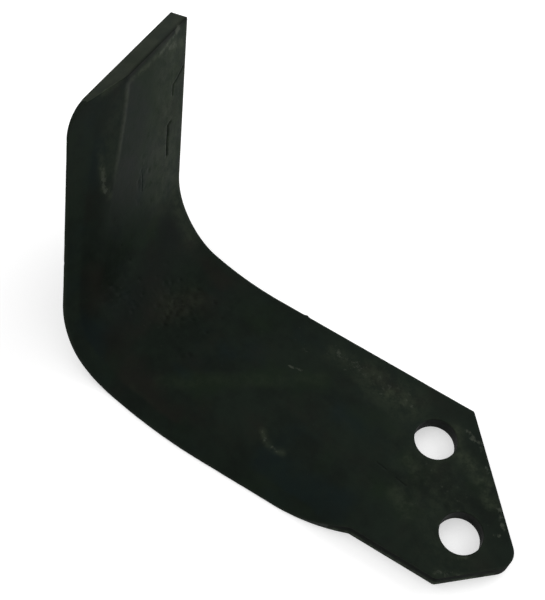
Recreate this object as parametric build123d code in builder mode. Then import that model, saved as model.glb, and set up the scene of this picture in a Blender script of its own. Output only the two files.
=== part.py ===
from build123d import *
import os
from math import acos, cos, exp, radians, sin, tan

# Rotary tiller blade, forged in one piece from flat bar. Lengths in millimetres, angles in degrees.
# The origin is midway between the two bolt holes, on the back of the clamped end. The holes lie
# along Y, and +Z leaves the back towards the hollow side of the bend.
# The bar is laid out flat first. There, "along" runs up the bar from the holes to the wing,
# "across" is positive towards the cutting side, and "height" is measured from the back.

# Bar stock
bar_width = 71.2
bar_thickness = 7.5
bar_edge_radius = 0.6  # along the trailing side, as rolled

# Clamped end, drilled for two M16 bolts
hole_diameter = 17.5
hole_spacing = 40.0
hole_shift = 0.9  # of the holes from the middle of the bar, towards its trailing side
bar_angle = 48.2  # from the line of the holes to the bar
long_cut = 18.75  # from the line of the holes
short_cut = 36.2  # from the middle of the holes, square to the long cut
mount_corner_radius = 6.0

# Bend that turns the wing up
bend_start = 132.0
bend_slant = 3.0  # how far the bend line leans from square across the bar
bend_angle = 78.5
bend_radius = 27.0  # on the hollow side
bend_bulge = 0.8  # of the cutting side, where the bend squeezes the metal out
bend_bulge_length = 14.0

# Trailing side of the blank: straight, then an arc, then straight up the wing
trailing_turn_start = 98.0
trailing_turn_radius = 160.0
trailing_sweep = 17.5

# Cutting side: the hammered metal spreads outwards, then the side turns as the trailing side does
spread_start = 24.0
spread = 6.0
spread_radius = 80.0
cutting_turn_start = 89.0
cutting_turn_radius = 240.0
cutting_sweep = 20.0

# Slanting cut across the end of the wing
wing_end = 251.0
wing_end_slant = 5.3
wing_corner_radius = 13.0

# Wedge of the cutting edge, hammered on the hollow side only
edge_thickness = 1.0
shank_wedge_width = 20.0
wing_wedge_width = 31.0
shank_shoulder_angle = 5.0  # soft, where the wedge runs out into the face of the bar
wing_shoulder_angle = 12.0  # sharp
shoulder_change_start = 185.0
shoulder_change_end = 245.0

# How far the trimming shapes reach past the metal
reach = 6.0
overrun = 3.0  # of the wedge's curve past its shoulder
lift = 1.0  # of that curve over the bar, where the wedge begins
clear_reach = wing_end + 2 * bar_width

cutting_side = bar_width / 2 + hole_shift
trailing_side = bar_width / 2 - hole_shift
back_radius = bend_radius + bar_thickness
middle_radius = bend_radius + bar_thickness / 2
bend_length = radians(bend_angle) * middle_radius
spread_length = spread_radius * sin(acos(1 - spread / spread_radius))

bar_plane = Plane(Location((0, 0, 0), (0, 0, 90 + bar_angle)))
bend_plane = Plane(bar_plane.location * Location((bend_start, 0, 0), (0, 0, bend_slant)))


def turned_in(along, start, radius, sweep):
    """How far in a side has come that is straight, turns on an arc, and is straight again."""
    arc_length = radius * sin(radians(sweep))
    on_arc = min(max(along - start, 0.0), arc_length)
    past_arc = max(along - start - arc_length, 0.0)
    return radius - (radius**2 - on_arc**2) ** 0.5 + past_arc * tan(radians(sweep))


def spread_share(along):
    """How much of the full spread there is, on an arc that ends parallel to the bar."""
    before_end = min(max(spread_start + spread_length - along, 0.0), spread_length)
    return 1 - (spread_radius - (spread_radius**2 - before_end**2) ** 0.5) / spread


def cutting_line(along):
    """Place across the flat bar of its cutting side."""
    turned = turned_in(along, cutting_turn_start, cutting_turn_radius, cutting_sweep)
    from_bend = (along - bend_start - bend_length / 2) / bend_bulge_length
    return cutting_side + spread * spread_share(along) - turned + bend_bulge * exp(-(from_bend**2))


def trailing_line(along):
    """Place across the flat bar of its trailing side."""
    turned = turned_in(along, trailing_turn_start, trailing_turn_radius, trailing_sweep)
    return -trailing_side - turned


def shoulder_change(along):
    """0 on the shank and 1 at the end of the wing, with an even S between them."""
    share = (along - shoulder_change_start) / (shoulder_change_end - shoulder_change_start)
    share = min(max(share, 0.0), 1.0)
    return share * share * (3 - 2 * share)


def flat_point(distance, offset):
    """Along and across of a point that lies so far past the start of the bend, and beside it."""
    slant = radians(bend_slant)
    along = bend_start + distance * cos(slant) - offset * sin(slant)
    across = distance * sin(slant) + offset * cos(slant)
    return along, across


def bend_point(along, across):
    """Distance past the start of the bend, and offset along the bend line, of a flat point."""
    slant = radians(bend_slant)
    distance = (along - bend_start) * cos(slant) + across * sin(slant)
    offset = across * cos(slant) - (along - bend_start) * sin(slant)
    return distance, offset


def side_offset(side_line, distance):
    """Where a section line meets a side of the flat bar, found by closing in on it."""
    offset = 0.0
    for _ in range(8):
        along, across = flat_point(distance, offset)
        offset += (side_line(along) - across) / cos(radians(bend_slant))
    return offset


def section_plane(distance):
    """Plane across the bent bar, so far past the start of the bend by the middle of the bar."""
    turn = min(max(distance, 0.0), bend_length) / middle_radius
    straight = min(distance, 0.0)
    past_bend = max(distance - bend_length, 0.0)
    out = straight + back_radius * sin(turn) + past_bend * cos(turn)
    up = back_radius * (1 - cos(turn)) + past_bend * sin(turn)
    travel = bend_plane.x_dir * cos(turn) + bend_plane.z_dir * sin(turn)
    origin = bend_plane.origin + bend_plane.x_dir * out + bend_plane.z_dir * up
    return Plane(origin=origin, x_dir=bend_plane.y_dir, z_dir=travel)


def wedge_curve(along, cutting_offset):
    """Control points of the wedge's top: at the edge, on the way, and just past the shoulder."""
    change = shoulder_change(along)
    width = shank_wedge_width + change * (wing_wedge_width - shank_wedge_width)
    shoulder_angle = shank_shoulder_angle + change * (wing_shoulder_angle - shank_shoulder_angle)
    slope = tan(radians(shoulder_angle))
    curve = (bar_thickness - edge_thickness - slope * width) / width**2
    drawn = spread_share(along)
    face_height = bar_thickness + lift * (1 - drawn)
    edge_height = face_height - drawn * (bar_thickness - edge_thickness)
    top_height = face_height + drawn * (slope * overrun - curve * overrun**2)
    half_run = (width + overrun) / 2
    middle_height = edge_height + drawn * (slope + 2 * curve * width) * half_run
    edge = (cutting_offset, edge_height)
    middle = (cutting_offset - half_run, middle_height)
    top = (cutting_offset - 2 * half_run, top_height)
    return edge, middle, top


def evenly(start, end, steps):
    """Evenly spaced distances from start, up to but without end."""
    return [start + (end - start) * step / steps for step in range(steps)]


# Distances of the sections that the forged outline passes through
spread_section, _ = bend_point(spread_start, cutting_side)
shank_section, _ = bend_point(spread_start + spread_length, cutting_side)
last_section, _ = bend_point(wing_end + 2 * reach, 0)
section_distances = (
    evenly(spread_section, shank_section, 4)
    + evenly(shank_section, 0, 8)
    + evenly(0, bend_length, 8)
    + evenly(bend_length, last_section, 8)
    + [last_section]
)

# Forged outline: both sides of the blank and the top of the wedge, as one shape round the bar
with BuildPart() as forged_outline:
    for distance in section_distances:
        cutting_offset = side_offset(cutting_line, distance)
        trailing_offset = side_offset(trailing_line, distance)
        along, _ = flat_point(distance, cutting_offset)
        edge, middle, top = wedge_curve(along, cutting_offset)
        with BuildSketch(section_plane(distance)):
            with BuildLine():
                Bezier(edge, middle, top)
                Polyline(
                    top,
                    (top[0], bar_thickness + reach),
                    (trailing_offset, bar_thickness + reach),
                    (trailing_offset, -reach),
                    (cutting_offset, -reach),
                    edge,
                )
            make_face()
    loft()

# Mount end of the outline, where the bar keeps its width and square edges, and then the rest
with BuildPart() as blank_outline:
    with BuildSketch(section_plane(spread_section)):
        with Locations((0, bar_thickness / 2)):
            Rectangle(4 * bar_width, bar_thickness + 2 * reach)
    extrude(amount=-clear_reach / 2)
    with BuildSketch(bar_plane):
        with Locations((0, cutting_side)):
            Rectangle(clear_reach, bar_width, align=(Align.CENTER, Align.MAX))
    extrude(amount=clear_reach, both=True, mode=Mode.INTERSECT)
    add(forged_outline.part)

# The bent bar, drawn as it is seen along its bend line
profile_plane = Plane(origin=bend_plane.origin, x_dir=bend_plane.x_dir, z_dir=-bend_plane.y_dir)
with BuildPart() as blade:
    with BuildSketch(profile_plane):
        with BuildLine():
            back_shank = Line((-clear_reach, 0), (0, 0))
            back_bend = JernArc(back_shank @ 1, (1, 0), back_radius, bend_angle)
            back_wing = Line(back_bend @ 1, back_bend @ 1 + (back_bend % 1) * clear_reach)
            face_shank = Line((-clear_reach, bar_thickness), (0, bar_thickness))
            face_bend = JernArc(face_shank @ 1, (1, 0), bend_radius, bend_angle)
            face_wing = Line(face_bend @ 1, face_bend @ 1 + (face_bend % 1) * clear_reach)
            Line(back_shank @ 0, face_shank @ 0)
            Line(back_wing @ 1, face_wing @ 1)
        make_face()
    extrude(amount=2 * bar_width, both=True)
    add(blank_outline.part, mode=Mode.INTERSECT)

    # Mount end: a long cut beside the line of the holes, and a short one square to it
    with BuildSketch():
        with Locations((long_cut, -short_cut)):
            Rectangle(clear_reach, clear_reach, align=(Align.MAX, Align.MIN))
        mount_corner = vertices().group_by(Axis.X)[-1].sort_by(Axis.Y)[0]
        fillet(mount_corner, mount_corner_radius)
    extrude(amount=clear_reach, both=True, mode=Mode.INTERSECT)

    # Wing end: the slanting cut, with its cutting corner rounded off
    cut_distance, cut_offset = bend_point(wing_end, 0)
    cut_section = section_plane(cut_distance)
    lean = radians(wing_end_slant + bend_slant)
    cut_plane = Plane(
        origin=cut_section.from_local_coords((cut_offset, 0, 0)),
        x_dir=cut_section.x_dir * cos(lean) + cut_section.z_dir * sin(lean),
        z_dir=cut_section.z_dir * cos(lean) - cut_section.x_dir * sin(lean),
    )
    split(bisect_by=cut_plane, keep=Keep.BOTTOM)
    end_face = faces().sort_by(Axis(cut_plane.origin, cut_plane.z_dir))[-1]
    wing_corner = end_face.edges().sort_by(Axis(cut_plane.origin, cut_plane.x_dir))[-1]
    fillet(wing_corner, wing_corner_radius)

    # Long edges of the trailing side, rounded as the bar is rolled
    trailing_faces = faces().filter_by(lambda face: face.normal_at().dot(bend_plane.y_dir) < -0.8)
    long_edges = trailing_faces.edges().filter_by(lambda edge: edge.length > 2 * bar_thickness)
    fillet(long_edges, bar_edge_radius)

    # Bolt holes
    with Locations((0, hole_spacing / 2), (0, -hole_spacing / 2)):
        Hole(hole_diameter / 2)

blade.part.label = "blade"
os.makedirs("parts", exist_ok=True)
export_step(blade.part, "parts/blade.step")
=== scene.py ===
# %% [markdown]
# # A forged blade for a rotary tiller
#
# A tiller turns a row of blades like this one through the soil. Each is cut from flat steel bar, heated,
# hammered thin along one side and bent once into an L, then blackened and hardened. The two holes take
# its bolts.
#
# This lesson dresses the blade that was modelled in CAD. The CAD solid has the true outline, bend and
# wedge. What it lacks is what fire, hammer and handling leave behind: rolled rims, a skin of scale, pits,
# laps and scuffs. We lay the blade out flat, as the smith's blank was, give it all of that, and bend it.

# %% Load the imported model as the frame
import math

import bpy
import numpy as np
from mathutils import Matrix, Vector, geometry, kdtree, noise


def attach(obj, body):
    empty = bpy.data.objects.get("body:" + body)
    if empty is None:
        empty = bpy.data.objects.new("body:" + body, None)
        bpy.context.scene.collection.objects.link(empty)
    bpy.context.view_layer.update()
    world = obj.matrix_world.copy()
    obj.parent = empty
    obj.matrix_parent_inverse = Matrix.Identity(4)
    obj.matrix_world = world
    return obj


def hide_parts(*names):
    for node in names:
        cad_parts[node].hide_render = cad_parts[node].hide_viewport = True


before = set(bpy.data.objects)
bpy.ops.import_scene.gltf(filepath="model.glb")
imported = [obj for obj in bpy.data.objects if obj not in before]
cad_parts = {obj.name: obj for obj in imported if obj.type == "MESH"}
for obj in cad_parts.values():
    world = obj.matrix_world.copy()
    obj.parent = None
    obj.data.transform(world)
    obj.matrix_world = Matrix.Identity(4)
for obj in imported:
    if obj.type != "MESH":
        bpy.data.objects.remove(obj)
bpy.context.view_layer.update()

# %% [markdown]
# ## The camera first
#
# The photograph looks down on the flat shank, with the bent-up wing at the upper left. Setting the camera
# before anything else means that every later choice can be judged from the right place. A long lens, about
# 87 mm on a 36 mm sensor, keeps the perspective weak, as in most catalogue pictures.

# %% Camera
def add_object(name, data):
    added = bpy.data.objects.new(name, data)
    bpy.context.scene.collection.objects.link(added)
    return added


def aim(aimed, place, target, roll=0.0):
    """Puts an object at a place, aimed at a point and rolled about its own view line, in degrees."""
    turn = (Vector(target) - Vector(place)).to_track_quat("-Z", "Y").to_matrix().to_4x4()
    aimed.matrix_world = Matrix.Translation(place) @ turn @ Matrix.Rotation(math.radians(roll), 4, "Z")


view = bpy.data.cameras.new("catalogue_camera")
view.sensor_fit = "HORIZONTAL"
view.sensor_width = 36
view.lens = 86.9
view.clip_start = 0.01
camera = add_object("catalogue_camera", view)
aim(camera, (-0.1485, -0.1750, 0.4818), (-0.0580, 0.0794, 0.0300), 10.4)
bpy.context.scene.camera = camera
print("camera stands", round(camera.location.length, 3), "m from the bolt holes")

# %% [markdown]
# ## The blank, laid out flat
#
# The smith starts from flat bar, so the lesson does too. "Along" runs up the bar from the bolt holes to the
# wing, "across" is positive towards the cutting edge, and "height" is measured from the back. A mesh that
# is built flat has even triangles everywhere, and a mark can be placed with a ruler. The sizes are those of
# the CAD model, in millimetres. Only the mount corner is a little rounder here, as it is on the real blade.

# %% Sizes of the blank
MILLIMETRE = 0.001

bar_width = 71.2
bar_thickness = 7.5
bar_angle = 48.2
hole_radius = 8.75
hole_spacing = 40.0
hole_shift = 0.9
long_cut = 18.75
short_cut = 36.2
mount_corner_radius = 7.5

bend_start = 132.0
bend_slant = math.radians(3.0)
bend_angle = math.radians(78.5)
bend_radius = 27.0
bend_bulge = 0.8
bend_bulge_length = 14.0

trailing_turn = (98.0, 160.0, 17.5)
cutting_turn = (89.0, 240.0, 20.0)
spread_start = 24.0
spread = 6.0
spread_radius = 80.0

wing_end = 251.0
wing_end_slant = math.radians(5.3)
wing_corner_radius = 13.0

edge_thickness = 1.0
shank_wedge = (20.0, 5.0)
wing_wedge = (31.0, 12.0)
shoulder_change = (185.0, 245.0)
wedge_lift = 1.0

cutting_side = bar_width / 2 + hole_shift
trailing_side = bar_width / 2 - hole_shift
back_radius = bend_radius + bar_thickness
middle_radius = bend_radius + bar_thickness / 2
bend_length = bend_angle * middle_radius
spread_length = spread_radius * math.sin(math.acos(1 - spread / spread_radius))
print("the bend takes up", round(bend_length, 1), "mm of the bar")

# %% [markdown]
# ## Two curved sides
#
# Both long sides start straight, turn on an arc, and run on straight. The cutting side first swells
# outwards, because hammering a wedge into it pushes the metal out. NumPy works on whole lists at once, so
# one short function serves a thousand points.

# %% Sides of the blank
def turned_in(along, start, radius, sweep):
    """How far in a side has come that is straight, turns on an arc, and is straight again."""
    arc_length = radius * math.sin(math.radians(sweep))
    on_arc = np.clip(along - start, 0, arc_length)
    past_arc = np.maximum(along - start - arc_length, 0)
    return radius - np.sqrt(radius**2 - on_arc**2) + past_arc * math.tan(math.radians(sweep))


def spread_share(along):
    """0 where the bar keeps its width, and 1 where the hammered side has its full spread."""
    before_end = np.clip(spread_start + spread_length - along, 0, spread_length)
    return 1 - (spread_radius - np.sqrt(spread_radius**2 - before_end**2)) / spread


def cutting_line(along):
    from_bend = (along - bend_start - bend_length / 2) / bend_bulge_length
    swell = spread * spread_share(along) + bend_bulge * np.exp(-(from_bend**2))
    return cutting_side + swell - turned_in(along, *cutting_turn)


def trailing_line(along):
    return -trailing_side - turned_in(along, *trailing_turn)


def end_line(across):
    """Place along the bar of the slanting cut at the end of the wing."""
    return wing_end + across * math.tan(wing_end_slant)


print("the wing is", round(float(cutting_line(230.0) - trailing_line(230.0)), 1), "mm wide near its end")

# %% [markdown]
# ## From the blade's own place to the blank and back
#
# `to_blank` turns a point of the clamped end, where the bolt holes lie along Y, into along and across.
# `fold` does the smith's work: it carries a point of the flat blank into the bent blade. Before the bend
# nothing happens, on the bend a point swings round the bend's centre, and after it the point goes straight
# on. Points on the hollow side swing on a smaller radius than points on the back.

# %% Folding the blank
bar_turn = math.radians(90 + bar_angle)


def turned(x, y, angle):
    """A flat place, turned about the origin."""
    return x * math.cos(angle) - y * math.sin(angle), x * math.sin(angle) + y * math.cos(angle)


def to_blank(x, y):
    return turned(x, y, -bar_turn)


def bend_point(along, across):
    """Distance past the start of the bend, and offset along the bend line."""
    return turned(along - bend_start, across, -bend_slant)


def flat_point(distance, offset):
    """Along and across of a point with this distance and offset."""
    along, across = turned(distance, offset, bend_slant)
    return bend_start + along, across


def fold(along, across, height):
    """Places in the bent blade, as rows of x, y and z in millimetres."""
    distance, offset = bend_point(along, across)
    turn = np.clip(distance, 0, bend_length) / middle_radius
    straight = np.minimum(distance, 0)
    past_bend = np.maximum(distance - bend_length, 0)
    swing = back_radius - height
    out = straight + swing * np.sin(turn) + past_bend * np.cos(turn)
    up = back_radius - swing * np.cos(turn) + past_bend * np.sin(turn)
    x, y = turned(out, offset, bar_turn + bend_slant)
    start_x, start_y = turned(bend_start, 0, bar_turn)
    return np.column_stack([start_x + x, start_y + y, up])


wing_tip = fold(*(np.array([value]) for value in (end_line(-60.0), -60.0, bar_thickness)))[0]
print("a point near the wing's tip lies at", wing_tip.round(1))

# %% [markdown]
# ## The outline as one closed loop
#
# The outline is walked once round: up the trailing side, over the wing's end, down the cutting side and
# round the clamped end. Real corners are never perfectly sharp, so each gets an arc, from half a millimetre
# where the shears cut to 13 mm at the wing's cutting corner. Each stretch remembers what kind of side it
# is, because a rolled side, a hammered edge and a sheared end wear differently.

# %% Corners and stretches
grid_step = 0.76
fine_step = 0.1
tip_radius = 0.8
lower_radius = 0.5
upper_radius = 0.7


def corner_arc(corner, before, after, radius):
    """Points of an arc that rounds a corner, with the directions away from it along both sides."""
    corner, before, after = (np.array(value, float) for value in (corner, before, after))
    half_angle = math.acos(np.clip(before @ after, -1, 1)) / 2
    middle = (before + after) / np.linalg.norm(before + after)
    centre = corner + middle * radius / math.sin(half_angle)
    start = corner + before * radius / math.tan(half_angle) - centre
    end = corner + after * radius / math.tan(half_angle) - centre
    sweep = math.pi - 2 * half_angle
    shares = np.linspace(0, 1, max(int(sweep * radius / fine_step), 8))[:, None]
    return centre + (start * np.sin((1 - shares) * sweep) + end * np.sin(shares * sweep)) / math.sin(sweep)


def direction(degrees):
    return np.array(turned(1, 0, math.radians(degrees)))


def meet_end(side_line):
    """Where a long side of the blank meets the end cut, found by closing in on it."""
    along = wing_end
    for _ in range(30):
        across = float(side_line(along))
        along = float(end_line(across))
    return along, across


def long_side(side_line, start, end):
    along = np.linspace(start, end, int(abs(end - start) / fine_step))
    return np.column_stack([along, side_line(along)])


def sheared_side(start, end):
    return np.linspace(start, end, int(math.dist(start, end) / fine_step))


end_slant = 90 - math.degrees(wing_end_slant)
clamp_turn = -math.degrees(bar_turn)
tip_corner = meet_end(trailing_line)
edge_corner = meet_end(cutting_line)
round_corner = to_blank(long_cut, -short_cut)
upper_corner = to_blank(long_cut, (trailing_side - long_cut * math.sin(bar_turn)) / -math.cos(bar_turn))
lower_corner = to_blank((cutting_side + short_cut * math.cos(bar_turn)) / -math.sin(bar_turn), -short_cut)
arcs = {
    "tip": corner_arc(tip_corner, direction(180 - trailing_turn[2]), direction(end_slant), tip_radius),
    "edge": corner_arc(edge_corner, -direction(end_slant), direction(180 - cutting_turn[2]), wing_corner_radius),
    "lower": corner_arc(lower_corner, direction(0), direction(clamp_turn), lower_radius),
    "round": corner_arc(round_corner, -direction(clamp_turn), direction(clamp_turn + 90), mount_corner_radius),
    "upper": corner_arc(upper_corner, -direction(clamp_turn + 90), direction(0), upper_radius),
}
for name, points in arcs.items():
    print(name, "corner runs from", points[0].round(1), "to", points[-1].round(1))

# %% One walk round the outline
ROLLED, SHEARED, HAMMERED, DRILLED = range(4)
burr_along = 85.3
burr_height = 0.5
burr_width = 0.8
nick_depth = 0.05
nick_size = 5.0
small_nick_size = 1.7


def trailing_with_burr(along):
    """The trailing side, with the small burr that a tong mark left on it."""
    return trailing_line(along) - burr_height * np.exp(-((along - burr_along) / burr_width) ** 2)


def edge_with_nicks(along):
    """The cutting side, slightly uneven from the hammer once the wedge has begun."""
    nicks = np.array([noise.noise((value / nick_size, 0, 7)) for value in along])
    nicks += [0.5 * noise.noise((value / small_nick_size, 3, 7)) for value in along]
    return cutting_line(along) - nick_depth * spread_share(along) * (1 + nicks)


stretches = [
    (ROLLED, long_side(trailing_with_burr, arcs["upper"][-1][0], arcs["tip"][0][0])),
    (SHEARED, arcs["tip"]),
    (SHEARED, sheared_side(arcs["tip"][-1], arcs["edge"][0])),
    (HAMMERED, arcs["edge"]),
    (HAMMERED, long_side(edge_with_nicks, arcs["edge"][-1][0], arcs["lower"][0][0])),
    (SHEARED, arcs["lower"]),
    (SHEARED, sheared_side(arcs["lower"][-1], arcs["round"][0])),
    (SHEARED, arcs["round"]),
    (SHEARED, sheared_side(arcs["round"][-1], arcs["upper"][0])),
    (SHEARED, arcs["upper"]),
]


def walk(points):
    """How far along a line each of its points is."""
    return np.concatenate([[0], np.cumsum(np.linalg.norm(np.diff(points, axis=0), axis=1))])


def at_distances(points, distances):
    """The places on a line at some distances along it."""
    return np.column_stack([np.interp(distances, walk(points), points[:, axis]) for axis in (0, 1)])


def even_loop(points, kinds, step):
    """The same closed loop with evenly spaced points, and the kind of side at each."""
    closed = np.vstack([points, points[:1]])
    walked = walk(closed)
    count = int(round(walked[-1] / step))
    distances = np.arange(count) * walked[-1] / count
    return at_distances(closed, distances), kinds[np.searchsorted(walked, distances, side="right") - 1]


rough_points = np.vstack([points for _, points in stretches])
rough_kinds = np.concatenate([np.full(len(points), kind) for kind, points in stretches])
outline, outline_kinds = even_loop(rough_points, rough_kinds, grid_step)


def hole_loop(y):
    """A bolt hole's rim, walked the other way round so that its wall faces into the hole."""
    angles = -np.linspace(0, 2 * math.pi, int(2 * math.pi * hole_radius / grid_step), endpoint=False)
    along, across = to_blank(hole_radius * np.cos(angles), y + hole_radius * np.sin(angles))
    return np.column_stack([along, across])


holes = [hole_loop(side * hole_spacing / 2) for side in (1, -1)]
loops = [outline] + holes
loop_kinds = [outline_kinds] + [np.full(len(hole), DRILLED) for hole in holes]
print("outline of", len(outline), "points, each hole", len(holes[0]))

# %% [markdown]
# ## The wedge
#
# The cutting side is hammered down to a millimetre from the hollow side alone. Its top is a parabola from
# the thin edge up to a shoulder, where it meets the bar's own face: softly on the shank, and at a clear
# angle on the wing, where the photograph shows the shoulder as a bright ridge. A real ridge is a little
# worn, so the two surfaces are blended over a short way instead of meeting in a line. The blend is crisp
# on the wing and wide below it, where the ridge fades away.

# %% Height of the hollow side
ridge_blend = 0.09
shank_blend = 0.5
ridge_fades = (190.0, 214.0)


def smooth_share(value, start, end):
    """0 at the start, 1 at the end and an even S between them. The start may be the higher of the two."""
    share = np.clip((value - start) / (end - start), 0, 1)
    return share * share * (3 - 2 * share)


def cutting_offset(distance):
    """Offset along the bend line of the cutting side, at a distance past the bend's start."""
    offset = np.zeros_like(distance)
    for _ in range(8):
        along, across = flat_point(distance, offset)
        offset = offset + (cutting_line(along) - across) / math.cos(bend_slant)
    return offset, flat_point(distance, offset)[0]


def wedge_sizes(along):
    """Width of the wedge, and the slope at its shoulder."""
    change = smooth_share(along, *shoulder_change)
    width = shank_wedge[0] + change * (wing_wedge[0] - shank_wedge[0])
    slope = np.tan(np.radians(shank_wedge[1] + change * (wing_wedge[1] - shank_wedge[1])))
    return width, slope


def face_height(along, across):
    """Height of the hollow side's surface above the back."""
    distance, offset = bend_point(along, across)
    edge_offset, edge_along = cutting_offset(distance)
    from_edge = np.maximum(edge_offset - offset, 0)
    width, slope = wedge_sizes(edge_along)
    curve = (bar_thickness - edge_thickness - slope * width) / width**2
    wedge = edge_thickness + (slope + 2 * curve * width) * from_edge - curve * from_edge**2
    wedge = np.where(from_edge > width, bar_thickness + slope * (from_edge - width), wedge)
    drawn = spread_share(edge_along)
    wedge = bar_thickness + wedge_lift * (1 - drawn) - drawn * (bar_thickness - wedge)
    blend = ridge_blend + shank_blend * (1 - smooth_share(edge_along, *ridge_fades))
    gap = (wedge - bar_thickness) / blend
    return bar_thickness - blend * np.logaddexp(0, -gap)


mid_wing = np.array([200.0])
edge_now = face_height(mid_wing, cutting_line(mid_wing))[0]
print("the cutting edge is", round(float(edge_now), 2), "mm thick halfway up the wing")

# %% The ridge, where the wedge meets the bar's face
ridge_reach = (-75, 125)
ridge_step = 0.5
end_gap = 0.6
side_gap = 1.2
ridge_distance = np.arange(*ridge_reach, ridge_step)
edge_offset, edge_along = cutting_offset(ridge_distance)
ridge = np.column_stack(flat_point(ridge_distance, edge_offset - wedge_sizes(edge_along)[0]))
ridge = ridge[ridge[:, 0] < end_line(ridge[:, 1]) - end_gap]
ridge = ridge[ridge[:, 1] > trailing_line(ridge[:, 0]) + side_gap]
print("the ridge has", len(ridge), "points")

# %% [markdown]
# ## Marks that have a place of their own
#
# Most of the skin is random, but some marks are not: two laps near the wing's trailing edge, where metal
# was folded over and closed by the hammer, a short crack beside the ridge, and a fine hairline near the
# holes, in two parts. Each is a line on the blank with a half width and a depth. The mesh gets extra points
# along them, so that they are real grooves.

# %% Laps and cracks
grooves = {
    "lap with a hook": (
        [(206.6, -50.8), (206.2, -48.8), (203, -48), (199.5, -46.6), (193.1, -45)], 0.8, 0.75,
    ),
    "lap near the tip": (
        [(225, -65), (223.6, -62), (222.6, -59.8), (222, -56.6), (217.6, -55.1)], 0.45, 0.3,
    ),
    "crack beside the ridge": ([(198.8, -27), (195, -26.3), (191, -25)], 0.3, 0.2),
    "hairline": ([(28.5, 7.1), (24, 7.7)], 0.25, 0.1),
    "end of the hairline": ([(19, 8.7), (14.2, 9.4)], 0.25, 0.1),
}
groove_step = 0.4


def even_line(points, step):
    """Points at even steps along an open line."""
    points = np.array(points, float)
    length = walk(points)[-1]
    return at_distances(points, np.linspace(0, length, max(int(length / step), 2)))


def leftward(heading):
    """Steps of one millimetre to the left of each heading."""
    heading = heading / np.linalg.norm(heading, axis=1)[:, None]
    return np.column_stack([-heading[:, 1], heading[:, 0]])


def with_sides(line, gap):
    """A line, and the same line moved to either side."""
    aside = gap * leftward(np.gradient(line, axis=0))
    return [line, line + aside, line - aside]


def distance_to_line(places, points):
    """How far each place is from an open line."""
    nearest = np.full(len(places), np.inf)
    for start, end in zip(np.array(points[:-1], float), np.array(points[1:], float)):
        run = end - start
        share = np.clip((places - start) @ run / (run @ run), 0, 1)
        nearest = np.minimum(nearest, np.linalg.norm(places - start - share[:, None] * run, axis=1))
    return nearest


groove_lines = [(even_line(points, groove_step), half_width) for points, half_width, _ in grooves.values()]
print("points along the grooves:", sum(len(line) for line, _ in groove_lines))

# %% [markdown]
# ## Even triangles all over the blank
#
# The mesh starts as a cloud of points: the outline, four rings just inside it that will carry the rounded
# rim, the ridge and the grooves, and then a honeycomb that fills the rest. Each later set keeps its
# distance from the earlier ones. Blender's Delaunay function joins them into well-shaped triangles, and
# it keeps the outline and the rims of the holes as edges.

# %% Choosing points
ring_offsets = (0.1, 0.28, 0.6, 1.0)
line_gap = 0.45
blank_along = (-60, 260)
blank_across = (-82, 48)


def search_tree(points):
    """A tree that quickly finds the points near a place, flat points at height 0."""
    tree = kdtree.KDTree(len(points))
    for index, point in enumerate(points):
        tree.insert((*point, 0)[:3], index)
    tree.balance()
    return tree


def spaced_from(points, others, gap):
    """The points that are at least a gap away from all the others."""
    tree = search_tree(others)
    return np.array([tree.find((x, y, 0))[2] for x, y in points]) >= gap


def inside(points, loop):
    """Which points lie inside a closed loop: a line to the right crosses it an odd number of times."""
    odd = np.zeros(len(points), bool)
    for (x0, y0), (x1, y1) in zip(loop, np.roll(loop, -1, axis=0)):
        if y0 != y1:
            spans = (points[:, 1] < y0) != (points[:, 1] < y1)
            odd ^= spans & (points[:, 0] < x0 + (points[:, 1] - y0) * (x1 - x0) / (y1 - y0))
    return odd


def on_metal(points):
    return inside(points, outline) & ~inside(points, holes[0]) & ~inside(points, holes[1])


def loop_heading(loop):
    return np.roll(loop, -1, axis=0) - np.roll(loop, 1, axis=0)


print("the rings lie", ring_offsets, "mm inside the outline")

# %% Points on the blank
fine_loops = [even_loop(loop, kinds, fine_step) for loop, kinds in zip(loops, loop_kinds)]
fine_rim = np.vstack([loop for loop, _ in fine_loops])
fine_rim_kinds = np.concatenate([kinds for _, kinds in fine_loops])
rim_points = np.vstack(loops)
rings = []
for offset in ring_offsets:
    for loop in loops:
        ring = loop + offset * leftward(loop_heading(loop))
        rings.append(ring[spaced_from(ring, fine_rim, 0.95 * offset)])
lines = with_sides(ridge, line_gap)
for line, half_width in groove_lines:
    lines += with_sides(line, half_width)
lines = np.vstack(lines)
lines = lines[on_metal(lines)]
kept_places = np.vstack([rim_points] + rings)
lines = lines[spaced_from(lines, kept_places, line_gap)]
kept_places = np.vstack([kept_places, lines])
row_step = grid_step * math.sqrt(3) / 2
columns, rows = np.meshgrid(np.arange(*blank_along, grid_step), np.arange(*blank_across, row_step))
columns[1::2] += grid_step / 2
honeycomb = np.column_stack([columns.ravel(), rows.ravel()])
honeycomb = honeycomb[on_metal(honeycomb)]
honeycomb = honeycomb[spaced_from(honeycomb, kept_places, 0.6 * grid_step)]
plan = np.vstack([kept_places, honeycomb])
print("points on the blank:", len(plan))

# %% Triangles on the blank
nudge = 0.01
golden_share = 0.618034


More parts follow.
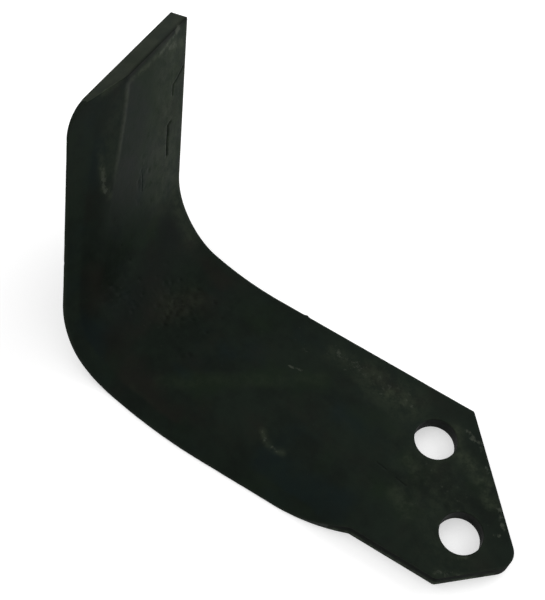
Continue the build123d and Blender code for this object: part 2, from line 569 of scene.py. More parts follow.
def triangles(points, edge_loops):
    """Triangles between points, inside closed loops that have the metal on their left.

    Points in a straight row would give triangles with no area. So every second point of a loop is nudged
    outwards, each by its own amount, while the triangles are found, and only then.
    """
    places = points.copy()
    edges = []
    for loop in edge_loops:
        amounts = nudge * (0.5 + np.arange(len(loop)) ** 2 * golden_share % 1)[:, None]
        places[loop[::2]] -= (amounts * leftward(loop_heading(points[loop])))[::2]
        edges += list(zip(loop.tolist(), np.roll(loop, -1).tolist()))
    found = geometry.delaunay_2d_cdt([Vector(place) for place in places], edges, [], 0, 1e-6)
    if len(found[0]) != len(points):
        print("note: some points were merged,", len(points), "went in and", len(found[0]), "came out")
    joined = np.array(found[2])
    middles = places[joined].mean(axis=1)
    kept = np.zeros(len(joined), bool)
    for loop in edge_loops:
        kept ^= inside(middles, places[loop])
    return joined[kept]


loop_starts = np.cumsum([0] + [len(loop) for loop in loops])
rims = [np.arange(start, end) for start, end in zip(loop_starts[:-1], loop_starts[1:])]
sheet = triangles(plan, rims)
print("triangles on one side:", len(sheet))

# %% [markdown]
# ## Rounded rims
#
# Rolled bar has rims with over half a millimetre of radius, and sheared ends are sharper. Where the wedge
# has thinned the bar, the radius is no more than a third of what is left. Near the outline the height falls
# along a quarter circle, so the rim is round in the mesh itself and catches light as steel does.

# %% Height of both sheets
rim_radius = {ROLLED: 0.6, SHEARED: 0.22, HAMMERED: 0.6, DRILLED: 0.3}
thickness_share = 0.32
rim_change = 12


def softened(values, reach):
    """Values along a closed loop, averaged with their neighbours on both sides."""
    return sum(np.roll(values, shift) for shift in range(-reach, reach + 1)) / (2 * reach + 1)


fine_radius = np.concatenate([
    softened(np.array([rim_radius[kind] for kind in kinds]), rim_change) for _, kinds in fine_loops
])
fine_radius = np.minimum(fine_radius, thickness_share * face_height(*fine_rim.T))
rim_tree = search_tree(fine_rim)
nearest_rim = [rim_tree.find((x, y, 0)) for x, y in plan]
rim_index, from_rim = (np.array([found[item] for found in nearest_rim]) for item in (1, 2))
from_rim[: len(rim_points)] = 0
radius_here = fine_radius[rim_index]
inward = np.clip(radius_here - from_rim, 0, None)
drop = radius_here - np.sqrt(radius_here**2 - inward**2)
upper_height = face_height(*plan.T) - drop
lower_height = drop
print("thinnest place", round(float((upper_height - lower_height).min()), 2), "mm")

# %% [markdown]
# ## The side walls
#
# Between the two sheets runs a wall: 7 mm high round the clamped end, a third of a millimetre along the
# cutting edge. It is unrolled into a strip of its own, length by height, and filled with triangles in the
# same way. Its top and bottom points are those of the sheets, so nothing has to be welded later.

# %% Walls round the outline and the holes
wall_row_step = 0.85 * grid_step
wall_margin = 0.35
seam_margin = 0.4


def wall_points(lengths, lower, upper, total):
    """Points inside an unrolled wall, staggered, and points up its seam."""
    seam = np.arange(lower[0] + grid_step, upper[0] - seam_margin, grid_step)
    columns, rows = np.meshgrid(np.arange(0, total, grid_step), np.arange(0, bar_thickness, wall_row_step))
    columns[1::2] += grid_step / 2
    inner = np.column_stack([columns.ravel(), rows.ravel()])
    low = np.interp(inner[:, 0], lengths, lower) + wall_margin
    high = np.interp(inner[:, 0], lengths, upper) - wall_margin
    clear_of_seam = (inner[:, 0] > 0.5 * grid_step) & (inner[:, 0] < total - 0.5 * grid_step)
    return seam, inner[(inner[:, 1] > low) & (inner[:, 1] < high) & clear_of_seam]


def wall(rim, new_first):
    """New points and triangles of the wall below one rim of the plan."""
    turn = np.append(rim, rim[0])
    loop = plan[turn]
    lengths = walk(loop)
    lower, upper = lower_height[turn], upper_height[turn]
    seam, inner = wall_points(lengths, lower, upper, lengths[-1])
    seam_start = np.column_stack([np.zeros(len(seam)), seam])
    seam_end = seam_start + (lengths[-1], 0)
    bottom, top = np.column_stack([lengths, lower]), np.column_stack([lengths, upper])
    places = np.vstack([bottom, seam_end, top[::-1], seam_start[::-1], inner])
    seam_names = new_first + np.arange(len(seam))
    inner_names = new_first + len(seam) + np.arange(len(inner))
    names = np.concatenate([turn + len(plan), seam_names, turn[::-1], seam_names[::-1], inner_names])
    joined = triangles(places, [np.arange(len(places) - len(inner))])
    new_places = np.vstack([seam_start, inner])
    return np.column_stack([at_distances(loop, new_places[:, 0]), new_places[:, 1]]), names[joined]


print("a wall gets a row of points every", round(wall_row_step, 2), "mm")

# %% The closed blank
blank = [np.column_stack([plan, upper_height]), np.column_stack([plan, lower_height])]
faces = [sheet, sheet[:, ::-1] + len(plan)]
wall_first = len(plan) * 2
for rim in rims:
    new_points, new_faces = wall(rim, sum(len(points) for points in blank))
    blank.append(new_points)
    faces.append(new_faces)
blank = np.vstack(blank)
faces = np.vstack(faces)
edges = np.sort(faces[:, [0, 1, 1, 2, 2, 0]].reshape(-1, 2), axis=1)
uses = np.unique(edges, axis=0, return_counts=True)[1]
print("the closed blank has", len(blank), "points and", len(faces), "triangles")
print("edges that aren't shared by exactly two triangles:", int((uses != 2).sum()))

# %% [markdown]
# ## Bending it
#
# Now `fold` carries every point into the bent blade at once. From here on the blank's own coordinates stay
# with each point, as a note of where it came from, and the finish will use them too.

# %% Folded points and their normals
placed = fold(*blank.T)


def point_normals(places, triangle_list):
    """Unit normals at the points, from the triangles round each."""
    corners = places[triangle_list]
    face_normals = np.cross(corners[:, 1] - corners[:, 0], corners[:, 2] - corners[:, 0])
    normals = np.zeros_like(places)
    for corner in range(3):
        np.add.at(normals, triangle_list[:, corner], face_normals)
    return normals / np.linalg.norm(normals, axis=1)[:, None]


normals = point_normals(placed, faces)
corners = placed[faces]
volume = np.einsum("ij,ij->i", corners[:, 0], np.cross(corners[:, 1], corners[:, 2])).sum() / 6000
print("volume", round(float(volume), 1), "cubic centimetres; box", (placed.max(0) - placed.min(0)).round(1))

# %% [markdown]
# ## What fire and hammer leave
#
# Hot steel grows a skin of scale that flakes and gets pressed in, so a forged face is never quite flat.
# Blender's noise functions give slow waves for the hammer and quick ones for the skin. Pits are struck one
# by one where the photograph has them: two crowded patches on the hollow side of the bend, and a few
# everywhere. Between the crowded pits the metal has crumbled, so the noise is deeper there. Everything goes
# inwards, so the blade never outgrows its CAD solid.

# %% Waves in the skin
def waves(places, size, octaves, seed):
    """Fractal noise at places on the blank, about -1 to 1, for waves of a size in millimetres."""
    offset = Vector((seed * 13.7, seed * 5.3, seed * 3.1))
    return np.array([
        noise.fractal(Vector(place) / size + offset, 1.0, 2.0, octaves) for place in places.tolist()
    ])


slow = waves(blank, 24, 2, 1)
skin = waves(blank, 4.5, 3, 2)
flake = smooth_share(waves(blank, 7, 3, 3), 0.12, 0.3)
crumbs = waves(blank, 2.4, 3, 5)
print("share of the skin that has flaked:", round(float((flake > 0.5).mean()), 2))

# %% How deep the skin lies
slow_depth = 0.06
skin_depth = 0.015
flake_depth = 0.02
crumb_depth = 0.2
ridge_width = 0.9
pit_crowds = [((160, 7), (13, 8)), ((131, -9), (13, 11))]

rim_from = np.concatenate([from_rim, from_rim, np.zeros(len(blank) - wall_first)])
on_hollow_side = smooth_share(blank[:, 2], 0.5 * bar_thickness, 0.6 * bar_thickness)
ridge_from = distance_to_line(blank[:, :2], ridge[::6])
on_wing = smooth_share(blank[:, 0], 192, 212)
raised = np.exp(-((ridge_from / ridge_width) ** 2)) * on_wing * on_hollow_side
calm = 0.25 + 0.75 * smooth_share(rim_from, 0, 5)
crumbled = on_hollow_side * sum(
    np.exp(-(((blank[:, 0] - along) / length) ** 2 + ((blank[:, 1] - across) / width) ** 2))
    for (along, across), (length, width) in pit_crowds
)
sunk = (slow_depth * (1 + slow) * calm + skin_depth * (1 + skin)) * (1 - raised)
sunk += flake_depth * flake * calm + crumb_depth * crumbled * (1 + crumbs)
print("the skin lies", sunk.mean().round(3), "mm deep on average")

# %% Pits
rng = np.random.default_rng(20)
HOLLOW, BACK = bar_thickness, 0.0
# how many pits, the patch's middle and spreads, its side, and the deepest pit as a share of its radius
pit_patches = [
    (60, *pit_crowds[0], HOLLOW, 0.3),
    (90, *pit_crowds[1], HOLLOW, 0.3),
    (30, (193, -27), (10, 6), HOLLOW, 0.16),
    (60, (150, 0), (30, 22), BACK, 0.2),
    (50, (20, 5), (30, 22), HOLLOW, 0.12),
    (50, (20, 5), (30, 22), BACK, 0.12),
    (120, (100, -5), (90, 28), HOLLOW, 0.1),
    (160, (100, -5), (90, 28), BACK, 0.12),
]
pit_radius = (0.5, 1.5)
furthest_reach = 1.6
sides_apart = 8
blank_tree = search_tree(blank * (1, 1, sides_apart))
pitted = np.zeros(len(blank))
for count, middle, spreads, level, deepest in pit_patches:
    for x, y in rng.normal(middle, np.array(spreads) / 1.6, (count, 2)):
        radius = rng.uniform(*pit_radius)
        depth = rng.uniform(0.3, 1.0) * deepest * radius
        stretch = rng.uniform(0.6, 1.0)
        for place, index, _ in blank_tree.find_range((x, y, sides_apart * level), furthest_reach * radius):
            away = math.hypot(place.x - x, (place.y - y) / stretch) / radius
            pitted[index] = max(pitted[index], depth * max(1 - away**2, 0))
sunk += pitted
print("pits:", sum(count for count, *_ in pit_patches), "deepest", pitted.max().round(2), "mm")

# %% Grooves
grooved = np.zeros(len(blank))
for points, half_width, depth in grooves.values():
    away = distance_to_line(blank[:, :2], points)
    cut = np.clip(1 - away / half_width, 0, 1) * on_hollow_side
    grooved = np.maximum(grooved, cut)
    sunk += depth * cut
print("points in grooves:", int((grooved > 0.5).sum()))

# %% The blade's mesh
skinned = placed - normals * sunk[:, None]
skinned[:, 2] = np.maximum(skinned[:, 2], 0)
mesh = bpy.data.meshes.new("forged_blade")
mesh.from_pydata((skinned * MILLIMETRE).tolist(), [], faces.tolist())
mesh.shade_smooth()
mesh.validate()
blade = add_object("forged_blade", mesh)
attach(blade, "root")
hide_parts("blade")
print("the forged blade has", len(mesh.polygons), "triangles")

# %% [markdown]
# ## Notes for the finish
#
# A mesh can carry its own notes from point to point, as attributes, and a material can read them. One
# note is each point's place on the blank, so that a texture bends with the bar. The others say where the
# finish differs: pale where dust settled, flecked where something rubbed, dark for painted shade in grooves,
# pits, the bend, along the wing's end and on some walls, bare where handling wears the black away, and
# green, blue or brown where the film of scale changes shade. Painted light is in some notes too: pale and
# flecked at the foot of the cut side, bare on the ridge and the wing's trailing rim.
# A mark is a line on the blank with a half width and a strength, and it fades towards its sides.

# %% Notes and marks
is_wall = np.arange(len(blank)) >= wall_first


def note(name, values):
    """Stores one number, or one place, for each point of the blade."""
    kind, field = ("FLOAT_VECTOR", "vector") if values.ndim == 2 else ("FLOAT", "value")
    attribute = mesh.attributes.new(name, kind, "POINT")
    attribute.data.foreach_set(field, values.astype(np.float32).ravel())


def marked(marks):
    """How strongly each point of the hollow side lies in a list of marks."""
    strongest = np.zeros(len(blank))
    for points, half_width, strength in marks:
        away = distance_to_line(blank[:, :2], points)
        strongest = np.maximum(strongest, strength * smooth_share(away, half_width, 0))
    return strongest * on_hollow_side * ~is_wall


print("points on the side walls:", int(is_wall.sum()))

# %% Dust and scuffs
hook_scuff = [(73.5, 20.5), (70.4, 23.6), (66.3, 25), (62.1, 24.3)]
corner_scuff = [(-11.8, 34.4), (-25.1, 28.5)]
small_scuff = [(-16.6, 24.8), (-19.5, 22.8)]
tip_scrape = [(243.7, -65.8), (243.1, -64.2)]
pale_marks = [
    (hook_scuff, 2.6, 0.6),
    ([(73.5, 17.8), (74.9, 10.8), (72.8, 4.1), (66.8, -1.6), (58.9, -4.2), (49.9, -3.2), (43.8, 1.8), (43.1, 9.6)],
     2.6, 0.09),
    ([(67, -26), (52.8, -25)], 8, 0.4), ([(48, -24), (30, -22)], 14, 0.6), ([(41, -22), (33, -23)], 7, 0.95),
    ([(9, -22), (4.7, -15.5), (-4.6, -11.7), (-12, -8.5), (-17.5, -2.5)], 6, 0.85),
    ([(19, -1), (13, 3)], 5, 0.6), ([(16, 14), (8, 19)], 6.5, 0.55), ([(16, -10), (6, 4), (-12, 22)], 24, 0.3),
    (corner_scuff, 3.5, 0.5), (small_scuff, 1.4, 0.8),
    ([(229.3, -9.4), (221, -7.4)], 3.2, 0.5), ([(221, -7), (212, -4.9), (207, -5.6)], 3.4, 0.9),
    ([(240, -24.5), (229.7, -14), (214, -8.5)], 8, 0.3), ([(245, -31.3), (243.4, -40), (242.4, -50)], 2.2, 0.9),
    ([(241.6, -51), (242.4, -63.5)], 2.6, 1), ([(239.5, -56.5), (235.5, -66)], 5, 1),
    ([(249, -26), (249.8, -12), (250.4, 2)], 3.6, 0.7),
    ([(240, -69.5), (228.2, -65.5), (211.8, -59.5), (194.2, -54), (176.6, -47.5), (147.2, -38)], 7, 0.45),
    ([(134, -6), (130, -14)], 13, 0.35), ([(238, -60), (205, -50), (180, -42)], 22, 0.55),
    ([(132, 33), (105, 39.5), (81, 44)], 5, 0.2),
    ([(119, 25.3), (106.1, 15.6), (89.3, 4.3), (66, -12.4)], 5.5, 0.2),
]
fleck_marks = [
    (hook_scuff, 2, 0.85), ([(80, -10.2), (73.4, -11.3)], 1.4, 1),
    ([(67, -26.5), (52.8, -24)], 9, 0.7), ([(48, -25), (30, -22.5)], 12, 0.6),
    ([(84, -23), (78, -20)], 5, 0.55), ([(131, -9), (136, -12)], 12, 0.5), ([(160, 8), (158, 3)], 7, 0.45),
    ([(204, -29.6), (200.5, -28.2)], 2.2, 0.8), (tip_scrape, 2.8, 1.6),
    ([(220, -6.8), (212, -4.9), (209, -5)], 2.8, 1.2), ([(14, -8), (-8, 8)], 16, 0.45),
    ([(16, 18), (8, 14)], 6, 0.45), ([(4.6, -25.4), (1.5, -23.8), (-2.3, -23), (-4.9, -21.2)], 2.6, 1),
    ([(-9.5, -15.3), (-11, -13.3)], 2.2, 0.9), ([(-21.5, -2.2), (-26.3, 4.6)], 2.8, 1),
    ([(-24.6, 8.6), (-26.4, 7.6)], 1.8, 1), (small_scuff, 1.2, 0.9),
    (corner_scuff, 2.8, 0.9), ([(242, -52), (242.8, -64)], 2.4, 1),
    ([(240, -58), (237.5, -65.5)], 4.6, 1),
]
print("dusty marks:", len(pale_marks), "and flecked ones:", len(fleck_marks))

# %% Shades of the film, and painted shade
green_marks = [
    ([(236, -50), (190, -38)], 26, 1), ([(119, 25.3), (66, -12.4)], 9, 1), ([(119, 24), (66, -11)], 11, 0.5),
    ([(172, -14), (166, -24)], 15, 0.7), ([(112, -23), (98, -20)], 11, 0.6), ([(25, 14), (12, 17)], 11, 0.8),
    ([(20, 0), (12, 4)], 8, 0.8), ([(-2, -12), (-16, -4)], 9, 0.8),
]
blue_marks = [
    ([(64, 30), (34, 33)], 15, 1), ([(208, 24), (190, 27), (168, 29), (152, 29)], 13, 1),
    ([(52, -3), (34, 0)], 9, 0.6), ([(119, 15.5), (112, 17)], 5, 0.9), ([(104, -2), (92, -8)], 9, 0.6),
    ([(232, -8), (222, 0)], 9, 0.6),
]
brown_marks = [
    ([(178, 15), (164, 14), (156, 11)], 12, 0.6), ([(231, 14), (218, 12), (205, 13)], 12, 0.8),
    ([(128, 29), (122, 28)], 6, 1), ([(228, 4), (205, 9)], 10, 0.8), ([(143, 18), (140, -6)], 11, 0.9),
    ([(147, 21), (133, 26), (121, 34), (110, 38)], 15, 0.8), ([(146, -33), (135, -33), (126, -29)], 9, 0.8),
    ([(84, 17), (76, 19)], 10, 0.4), ([(136, -2), (129, -14)], 11, 1), ([(52, -27), (27, -24)], 7, 0.8),
]
# painted shade: darker patches on the bend and up the wing
painted_shade_marks = [
    ([(198, 18), (165, 26)], 18, 0.45), ([(232, 2), (204, 8)], 22, 0.35), ([(172, 8), (156, 6)], 13, 0.3),
    ([(242, -30.5), (236, -25.5), (224, -18), (217, -15)], 6, 0.15),
    ([(157, -32), (153.2, -18.1), (149.9, 1.9), (146.8, 20)], 14, 0.5),
]
print("marks of other shades:", len(green_marks + blue_marks + brown_marks), "and of painted_shade:", len(painted_shade_marks))

# %% [markdown]
# ## Rims, ridge and side walls
#
# Handling wears the black off the rims and off the ridge first, and most off the rolled rims. On the ridge
# and along the wing's trailing rim the pale line is a painted highlight as well. The wing's end has a dark
# line along its rim towards the tip, a painted shadow, with one bright spot near the tip, and its face is
# painted darker towards the top over the wedge. The side walls that were sheared get painted shade at the
# top and painted light at the foot, and the holes get painted shade inside.

# %% Bare rims and ridge
wing_start = 200.0
rim_bareness = {ROLLED: 0.4, SHEARED: 0.2, HAMMERED: 0.15, DRILLED: 0.1}
ridge_wear_and_highlight = 0.75


def both_sheets(values):
    """Values at the points of the plan, for the upper and the lower sheet, and 0 on the walls."""
    return np.concatenate([values, values, np.zeros(is_wall.sum())])


sheet_kinds = fine_rim_kinds[rim_index]
at_wing_end = (sheet_kinds == SHEARED) & (plan[:, 0] > wing_start)
bareness = np.where(at_wing_end, 0, [rim_bareness[kind] for kind in sheet_kinds])
on_rim = both_sheets(bareness) * smooth_share(rim_from, 1.0, 0.1)
# wear and a painted highlight: a pale line along the wing's trailing rim
wing_side = both_sheets((sheet_kinds == ROLLED) * smooth_share(plan[:, 0], 140, 170))
wing_rim_wear_and_highlight = wing_side * smooth_share(rim_from, 1.7, 0.3)
# wear and a painted highlight: the pale line along the ridge
on_ridge = smooth_share(ridge_from, 2.0, 0.2) * smooth_share(blank[:, 0], 209, 221) * on_hollow_side
bare_and_highlight = np.maximum.reduce([on_rim, wing_rim_wear_and_highlight, ridge_wear_and_highlight * on_ridge])
print("points on bare rims or the ridge:", int((bare_and_highlight > 0.2).sum()))

# %% The wing's end
near_tip = smooth_share(blank[:, 1], -24, -34)
# painted shadow: a dark line along the wing's end towards the tip, on the hollow side and on the top of the end
# face
end_line_painted_shadow = both_sheets(at_wing_end) * on_hollow_side * smooth_share(rim_from, 3.0, 0.7)
end_line_painted_shadow = end_line_painted_shadow * near_tip * (1 - marked([(tip_scrape, 2.4, 1)]))
on_end_wall = is_wall & (blank[:, 0] > 230) & (blank[:, 1] < 6)
end_top_painted_shadow = on_end_wall * smooth_share(blank[:, 2], 5.8, 7.2) * near_tip
share_of_height = blank[:, 2] / face_height(*blank[:, :2].T)
# painted shade: the end face darker towards its top where it meets the wedge
end_wedge_painted_shade = on_end_wall * smooth_share(share_of_height, 0.5, 1.0) * (1 - near_tip)
print("points on the wing's end:", int(on_end_wall.sum()))

# %% Side walls of the clamped end, and the holes
cut_side_end = spread_start + 8
hole_centres = [to_blank(0, side * hole_spacing / 2) for side in (1, -1)]
from_hole = np.minimum(*[np.hypot(blank[:, 0] - along, blank[:, 1] - across) for along, across in hole_centres])
# the walls of the bolt holes, which get painted shade
hole_wall = is_wall & (from_hole < hole_radius + 1)
cut_side = is_wall & (blank[:, 0] < cut_side_end) & (blank[:, 1] > 20)
# painted shade at the top of the cut side, and painted light at its foot
cut_top_painted_shade = cut_side * smooth_share(blank[:, 2], 4.2, 6.4)
cut_foot_painted_light = cut_side * smooth_share(blank[:, 2], 4.2, 1.0)
print("points on the cut side:", int(cut_side.sum()), "and in the holes:", int(hole_wall.sum()))

# %% The notes, written on the mesh
# painted shade, all of it: in the pits and grooves, along the wing's end, on the cut sides and in the holes
pit_painted_shade = 0.25 * np.clip(pitted / 0.3, 0, 1)
end_painted_shade = np.maximum.reduce([0.8 * end_line_painted_shadow, 0.65 * end_top_painted_shadow, 0.4 * end_wedge_painted_shade])
wall_painted_shade = np.maximum(0.9 * cut_top_painted_shade, 0.8 * hole_wall)
point_notes = {
    "blank": blank * MILLIMETRE,
    # dust and scuffs, and painted light at the foot of the cut side, also in the fleck note
    "pale": np.maximum(marked(pale_marks), cut_foot_painted_light),
    "fleck": np.maximum(marked(fleck_marks), 0.5 * cut_foot_painted_light),
    # painted shade in grooves, pits, the wing's end, the walls and the bend
    "dark": np.maximum.reduce([grooved, pit_painted_shade, end_painted_shade, wall_painted_shade, marked(painted_shade_marks)]),
    # worn rims, with a painted highlight on the ridge and the wing's trailing rim
    "bare_and_highlight": bare_and_highlight,
    "green": marked(green_marks),
    "blue": marked(blue_marks),
    "brown": marked(brown_marks),
}
for name, values in point_notes.items():
    note(name, values)
print("notes on the mesh:", list(point_notes))

# %% [markdown]
# ## A skin for every forged face
#
# The black on this blade is a thin coat over forge scale: nearly black, slightly green, satin, and cloudy
# at two sizes. One node group makes the clouds, the fine grain and the specks, all from the place on the
# blank, and every finish of the blade takes them from it with its own sizes.

# %% Helpers for nodes
def new_group(name, inputs, outputs):
    """A node group with named sockets: (name, kind, value) going in, (name, kind) coming out."""
    group = bpy.data.node_groups.new(name, "ShaderNodeTree")
    for label, kind, value in inputs:
        socket = group.interface.new_socket(label, in_out="INPUT", socket_type=kind)
        if value is not None:
            socket.default_value = value
    for label, kind in outputs:
        group.interface.new_socket(label, in_out="OUTPUT", socket_type=kind)
    return group, group.nodes.new("NodeGroupInput"), group.nodes.new("NodeGroupOutput")


def feed(made, values):
    """Links or plain values for a node's inputs, by name or number."""
    for label, value in values.items():
        if isinstance(value, bpy.types.NodeSocket):
            made.id_data.links.new(value, made.inputs[label])
        else:
            made.inputs[label].default_value = value


def node(tree, kind, values, **settings):
    """A node with its settings, fed with links or values."""
    made = tree.nodes.new(kind)
    for label, value in settings.items():
        setattr(made, label, value)
    feed(made, values)
    return made


def clouds(place, scale, detail, roughness=0.55):
    """Noise from 0 to 1 at a place, with its size set by a number or a socket."""
    values = {"Vector": place, "Scale": scale, "Detail": detail, "Roughness": roughness}
    return node(place.id_data, "ShaderNodeTexNoise", values).outputs[0]


def ramp(value, low, high, to_low=0.0, to_high=1.0):
    """A value carried from one range to another, with soft ends."""
    values = {"Value": value, "From Min": low, "From Max": high, "To Min": to_low, "To Max": to_high}
    return node(value.id_data, "ShaderNodeMapRange", values, interpolation_type="SMOOTHSTEP").outputs["Result"]


def combine(operation, first, second, clamp=False):
    values = {0: first, 1: second}
    return node(first.id_data, "ShaderNodeMath", values, operation=operation, use_clamp=clamp).outputs[0]


def plus(first, second):
    return combine("ADD", first, second)


def times(first, second):
    return combine("MULTIPLY", first, second)


def tint(share, first, second):
    """One colour over another, by a mask. The mix node keeps its colours in the inputs 6 and 7."""
    values = {0: share, 6: first, 7: second}
    return node(share.id_data, "ShaderNodeMix", values, data_type="RGBA").outputs[2]


print("Blender", bpy.app.version_string, "has", len(bpy.data.node_groups), "node groups before we start")

# %% Node group: forge skin
skin_group, given, result = new_group(
    "forge_skin",
    [("Place", "NodeSocketVector", None), ("Cloud Scale", "NodeSocketFloat", 40.0),
     ("Grain Scale", "NodeSocketFloat", 900.0), ("Flaking", "NodeSocketFloat", 0.5)],
    [("Cloud", "NodeSocketFloat"), ("Flake", "NodeSocketFloat"), ("Speck", "NodeSocketFloat"),
     ("Height", "NodeSocketFloat")],
)
place = given.outputs["Place"]
patchy = clouds(place, 210.0, 4.0, 0.6)
grain = clouds(place, given.outputs["Grain Scale"], 3.0, 0.6)
flake_edge = plus(times(given.outputs["Flaking"], -0.4), 0.8)
feed(result, {
    "Cloud": plus(times(clouds(place, given.outputs["Cloud Scale"], 3.0), 0.6), times(patchy, 0.4)),
    "Flake": ramp(patchy, flake_edge, 0.72),
    "Speck": ramp(clouds(place, 700.0, 3.0, 0.6), 0.66, 0.8),
    "Height": plus(times(grain, 0.5), times(patchy, 0.5)),
})
print("forge_skin gives", [socket.name for socket in result.inputs if socket.name])

# %% [markdown]
# ## Flecks that are broken up
#
# Where something rubbed or chipped, the pale flecks aren't smooth: they lie in crumbs and short streaks. The
# second node group, `broken_mask`, tears a smooth note from the mesh into such crumbs. The stronger the
# note, the more of it is left.

# %% Node group: broken mask
broken_group, given, result = new_group(
    "broken_mask",
    [("Place", "NodeSocketVector", None), ("Note", "NodeSocketFloat", 0.0),
     ("Crumb Scale", "NodeSocketFloat", 500.0), ("Softness", "NodeSocketFloat", 0.3)],
    [("Mask", "NodeSocketFloat")],
)
noisy = clouds(given.outputs["Place"], given.outputs["Crumb Scale"], 4.0, 0.7)
edge = plus(times(given.outputs["Note"], -0.33), 0.73)
torn = ramp(noisy, edge, plus(edge, given.outputs["Softness"]))
kept = combine("MULTIPLY", given.outputs["Note"], 2.0, clamp=True)
feed(result, {"Mask": times(torn, kept)})
print("broken_mask takes", [socket.name for socket in given.outputs if socket.name])

# %% [markdown]
# ## Three finishes
#
# The forged faces, the rolled side and the holes carry the full skin. The sides that were sheared at the
# clamped end are duller, and their colour is darker: painted shade. The wing's end gets a paler colour:
# painted light. All three are dark enough that their gloss matters as much as their colour, so roughness
# changes with the clouds, and the gloss is slightly green. Each is the same recipe with its own numbers, and
# the film's three shades drift over it.

# %% Building a finish
def linear(red, green, blue):
    """A colour read from a picture, 0 to 255, as the plain light that Blender works with."""
    shares = [value / 255 for value in (red, green, blue)]
    return tuple(x / 12.92 if x <= 0.04045 else ((x + 0.055) / 1.055) ** 2.4 for x in shares) + (1.0,)


film_shades = {"green": linear(20, 31, 18), "blue": linear(15, 25, 26), "brown": linear(27, 25, 21)}
# colour of the painted shade that the dark note lays on
painted_shade_black = (0.001, 0.001, 0.001, 1)
gloss_tint = (0.9, 1.0, 0.94, 1)
grain_height = 0.0002
shade_reach = 0.3
shade_strength = 0.55
flake_strength = 0.3
speck_strength = 0.2
fleck_strength = 0.8
# how strong the painted shade of the dark note is
dark_strength = 0.85


def finish(name, dark, light, cloud_scale, grain_scale, flaking, rub_and_highlight, dust_and_light, specular, roughness, bump):
    """A blackened steel: two cloud colours, three shades, pale and bare marks, partly painted light, and painted
    shade.
    """
    material = bpy.data.materials.new(name)
    material.use_nodes = True
    tree = material.node_tree
    notes = {}
    for label in point_notes:
        reader = node(tree, "ShaderNodeAttribute", {}, attribute_name=label)
        notes[label] = reader.outputs["Vector" if label == "blank" else "Fac"]
    place = notes["blank"]
    sizes = {"Place": place, "Cloud Scale": cloud_scale, "Grain Scale": grain_scale, "Flaking": flaking}
    skin = node(tree, "ShaderNodeGroup", sizes, node_tree=skin_group).outputs

    colour = tint(ramp(skin["Cloud"], 0.34, 0.66), dark, light)
    for number, (label, shade) in enumerate(film_shades.items()):
        offset = (number + 1, 2 * number, 0.5)
        shifted = node(tree, "ShaderNodeVectorMath", {0: place, 1: offset}, operation="ADD").outputs[0]
        drift = plus(clouds(shifted, 55.0, 3.0), times(notes[label], shade_reach))
        colour = tint(times(ramp(drift, 0.5, 0.9), shade_strength), colour, shade)
    wear_and_highlight_share = ramp(clouds(place, 420.0, 3.0), 0.3, 0.7, 0.45, 0.85)
    haze = ramp(clouds(place, 230.0, 6.0, 0.72), 0.36, 0.66, 0.1, 0.85)
    crumbs = {"Place": place, "Note": notes["fleck"], "Crumb Scale": 430.0, "Softness": 0.2}
    flecks = node(tree, "ShaderNodeGroup", crumbs, node_tree=broken_group).outputs["Mask"]
    # the dark note is painted shade; the bare note is partly a painted highlight, the pale and fleck notes partly
    # painted light
    layers = [
        (skin["Flake"], flake_strength, light), (skin["Speck"], speck_strength, rub_and_highlight), (notes["bare_and_highlight"], wear_and_highlight_share, rub_and_highlight),
        (notes["pale"], haze, dust_and_light), (flecks, fleck_strength, rub_and_highlight), (notes["dark"], dark_strength, painted_shade_black),
    ]
    for mask, strength, shade in layers:
        colour = tint(times(mask, strength), colour, shade)

    relief = {"Strength": bump, "Distance": grain_height, "Height": skin["Height"]}
    feed(tree.nodes["Principled BSDF"], {
        "Base Color": colour,
        "Roughness": plus(ramp(skin["Cloud"], 0.3, 0.7, *roughness), times(skin["Flake"], 0.08)),
        "Specular IOR Level": specular,
        "Specular Tint": gloss_tint,
        "Normal": node(tree, "ShaderNodeBump", relief).outputs["Normal"],
    })
    return material


print("a finish reads the notes", list(point_notes))

# %% The three finishes
black_face = finish(
    "blackened_forged_face", dark=linear(14, 19, 15), light=linear(22, 29, 23), cloud_scale=38.0, grain_scale=900.0,
    flaking=0.5, rub_and_highlight=linear(58, 62, 54), dust_and_light=linear(48, 54, 42), specular=0.045, roughness=(0.48, 0.66), bump=0.35,
)
# painted light: the same recipe with paler colours, for the wing's end
end_painted_light_finish = finish(
    "wing_end_painted_light", dark=linear(35, 40, 33), light=linear(47, 51, 43), cloud_scale=90.0, grain_scale=1300.0,
    flaking=0.7, rub_and_highlight=linear(70, 74, 60), dust_and_light=linear(60, 66, 54), specular=0.045, roughness=(0.5, 0.7), bump=0.4,
)
# painted shade: the same recipe with darker colours, for the sheared sides of the clamped end
cut_painted_shade_finish = finish(
    "cut_side_painted_shade", dark=linear(9, 13, 10), light=linear(15, 20, 15), cloud_scale=60.0, grain_scale=1300.0,
    flaking=0.5, rub_and_highlight=linear(72, 80, 68), dust_and_light=linear(72, 80, 68), specular=0.02, roughness=(0.6, 0.75), bump=0.4,
)
finishes = [black_face, cut_painted_shade_finish, end_painted_light_finish]
for material in finishes:
    mesh.materials.append(material)
print("finishes:", [material.name for material in finishes])

# %% Which triangle has which finish
on_side_wall = (faces >= wall_first).any(axis=1)
wall_places = blank[faces[on_side_wall]].mean(axis=1)
wall_kind = fine_rim_kinds[[rim_tree.find((x, y, 0))[1] for x, y in wall_places[:, :2]]]
is_cut = (wall_kind == SHEARED) | (wall_kind == HAMMERED) & (wall_places[:, 0] < cut_side_end)
is_end = (wall_kind == SHEARED) & (wall_places[:, 0] > wing_start)
finish_index = np.zeros(len(faces), np.int32)
finish_index[on_side_wall] = np.where(is_end, finishes.index(end_painted_light_finish), is_cut * finishes.index(cut_painted_shade_finish))
mesh.polygons.foreach_set("material_index", finish_index)
print("triangles in each finish:", np.bincount(finish_index).tolist())

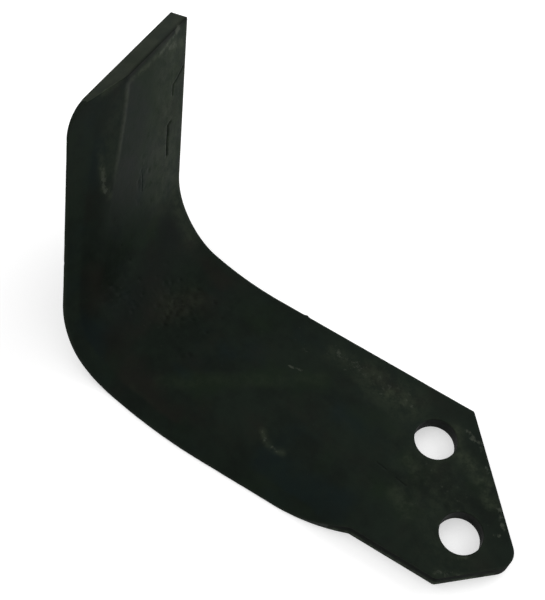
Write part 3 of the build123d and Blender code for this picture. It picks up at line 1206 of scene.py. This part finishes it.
# %% [markdown]
# ## Floor and light
#
# The photograph has a plain white ground. A big pale floor with its own shadow, a weak wide lamp high up and
# a stronger one from the side give the plain light of a catalogue. The side lamp is what shows the wing's
# hollow face and its ridge. The white isn't made by more light on the blade. The floor and the room are
# brighter to the camera and in reflections than they are as lamps, so steel shows a white room too.

# %% Floor, world and lamps
floor_half = 12.0
floor_colour = (0.82, 0.82, 0.82, 1)
floor_glow = (0.42, 0.42, 0.42, 1)
room_light = 0.7


def seen_rays(tree):
    """1 for what the camera sees, directly or in a reflection, and 0 for light on the blade."""
    rays = node(tree, "ShaderNodeLightPath", {}).outputs
    mirrored = combine("MAXIMUM", rays["Is Glossy Ray"], rays["Is Transmission Ray"])
    return combine("MAXIMUM", mirrored, rays["Is Camera Ray"])


def soft_lamp(name, place, target, size, power):
    lamp = bpy.data.lights.new(name, "AREA")
    lamp.shape = "DISK"
    lamp.size = size
    lamp.energy = power
    aim(add_object(name, lamp), place, target)


floor_corners = [(x * floor_half, y * floor_half, 0) for x, y in ((-1, -1), (1, -1), (1, 1), (-1, 1))]
floor_mesh = bpy.data.meshes.new("floor")
floor_mesh.from_pydata(floor_corners, [], [(0, 1, 2, 3)])
floor = add_object("floor", floor_mesh)
ground = bpy.data.materials.new("white_ground")
ground.use_nodes = True
feed(ground.node_tree.nodes["Principled BSDF"], {
    "Base Color": floor_colour, "Roughness": 0.9, "Specular IOR Level": 0.0,
    "Emission Color": floor_glow, "Emission Strength": seen_rays(ground.node_tree),
})
floor_mesh.materials.append(ground)
world = bpy.data.worlds.new("pale_room")
world.use_nodes = True
strength = plus(times(seen_rays(world.node_tree), 1 - room_light), room_light)
feed(world.node_tree.nodes["Background"], {"Strength": strength, "Color": (1, 1, 1, 1)})
bpy.context.scene.world = world
soft_lamp("overhead_lamp", (-0.6, 0.5, 1.0), (-0.06, 0.06, 0.0), 0.9, 1.5)
soft_lamp("side_lamp", (0.95, 0.45, 0.5), (-0.08, 0.1, 0.05), 1.0, 8.0)
bpy.context.scene.view_settings.view_transform = "Standard"
